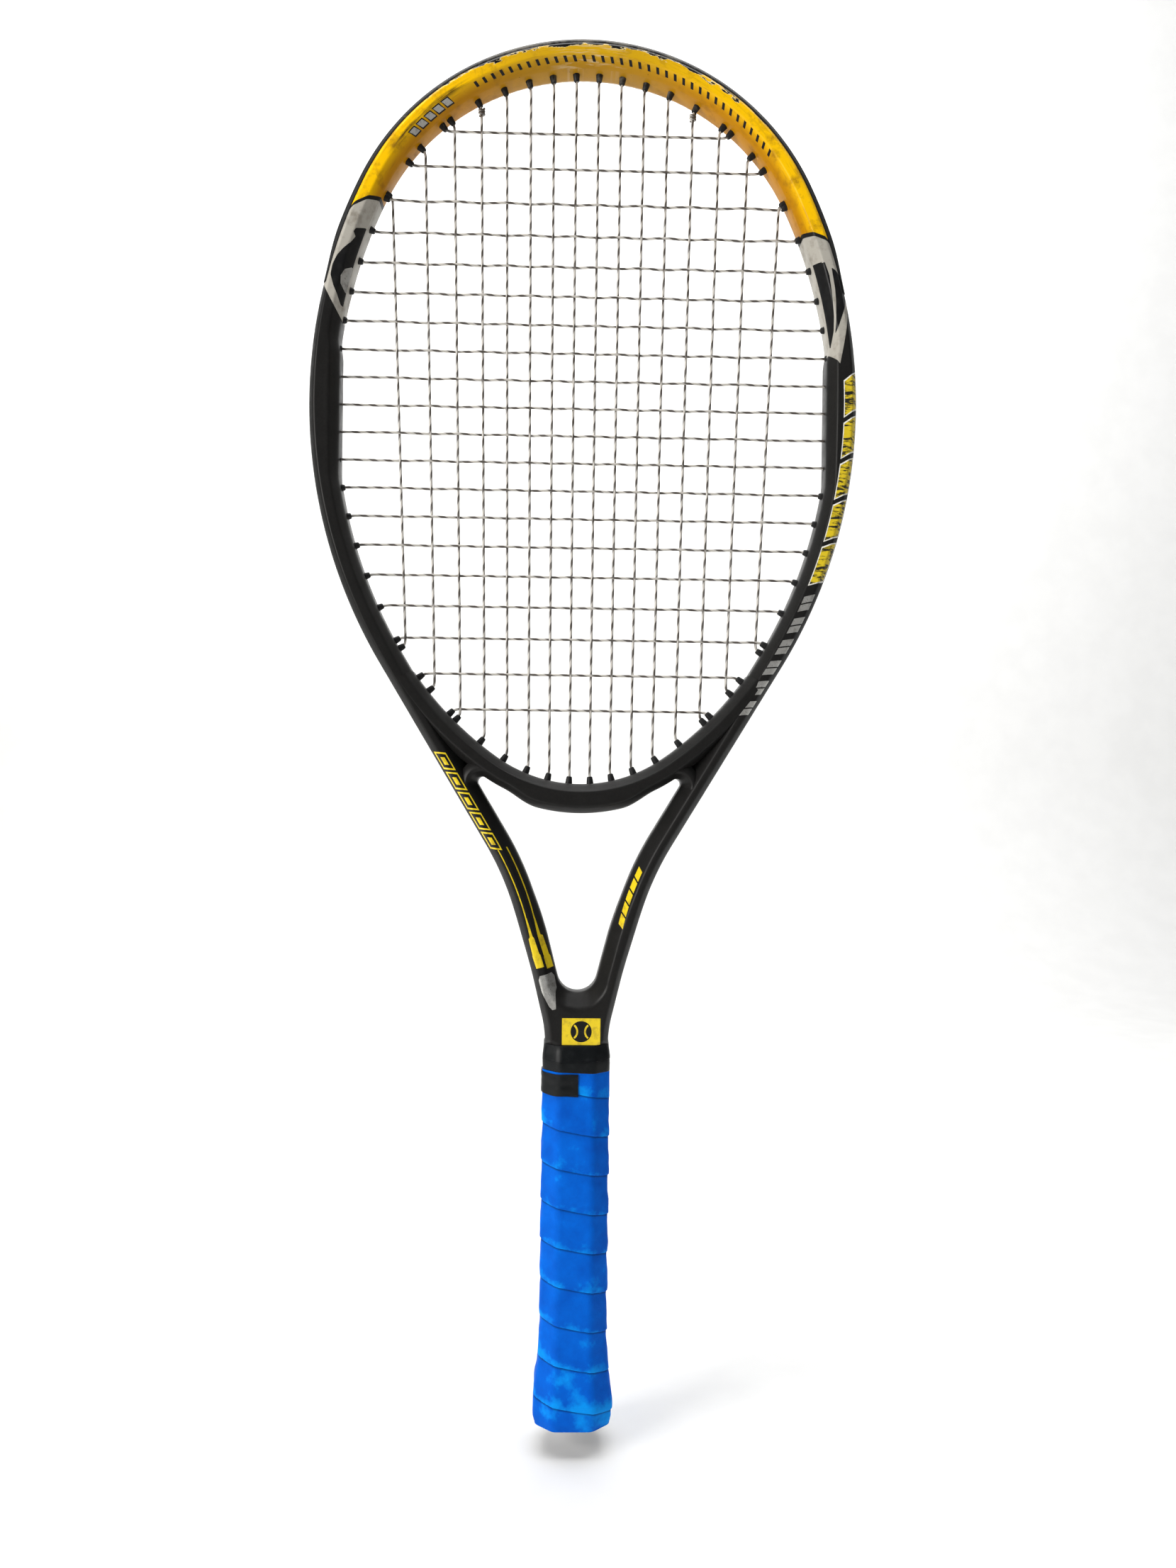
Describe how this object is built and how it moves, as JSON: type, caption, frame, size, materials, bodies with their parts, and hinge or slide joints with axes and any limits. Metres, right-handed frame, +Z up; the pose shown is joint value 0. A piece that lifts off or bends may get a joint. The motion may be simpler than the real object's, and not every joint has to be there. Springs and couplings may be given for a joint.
{
  "type": "tennis racket",
  "caption": "Strung tennis racket with an oval head, open throat, plastic head guard, wrapped octagonal handle and a snap-in door in the butt cap.",
  "frame": {"origin": "centre of the butt end face", "axes": "+Z up the handle to the crown; the string bed lies in the XZ plane; +Y is the back of the racket, -Y the face that is seen"},
  "size_m": [0.2768, 0.036, 0.6985],
  "materials": {
    "frame_lacquer": "satin black lacquer over moulded carbon fibre, gold-yellow crown",
    "guard_nylon": "moulded nylon, scuffed",
    "grommet_nylon": "moulded nylon",
    "string_filament": "twisted two-tone filament",
    "foam": "moulded rigid foam",
    "cap_plastic": "moulded, fine grain",
    "staple_wire": "plated wire",
    "grip_leather": "synthetic, perforated",
    "overgrip_felt": "polyurethane-coated felt, spiral wrapped",
    "black_tape": "vinyl tape"
  },
  "bodies": {
    "racket": {"frame_tube": "frame_lacquer", "throat_bridge": "frame_lacquer", "bridge_core": "foam", "bumper_guard": "guard_nylon", "left_grommet_strip": "grommet_nylon", "right_grommet_strip": "grommet_nylon", "throat_grommet_strip": "grommet_nylon", "main_string": "string_filament", "cross_string": "string_filament", "handle_pallet": "foam", "butt_cap": "cap_plastic", "butt_cap_staples": "staple_wire", "base_grip": "grip_leather", "grip_staple": "staple_wire", "overgrip": "overgrip_felt", "finishing_tape": "black_tape", "tape_patch": "black_tape"},
    "trap_door": {"trap_door": "cap_plastic"}
  },
  "joints": [
    {"name": "trap_door_slide", "type": "slide", "parent": "racket", "child": "trap_door", "axis": [0, 0, -1], "range_m": [0, 0.012]}
  ]
}
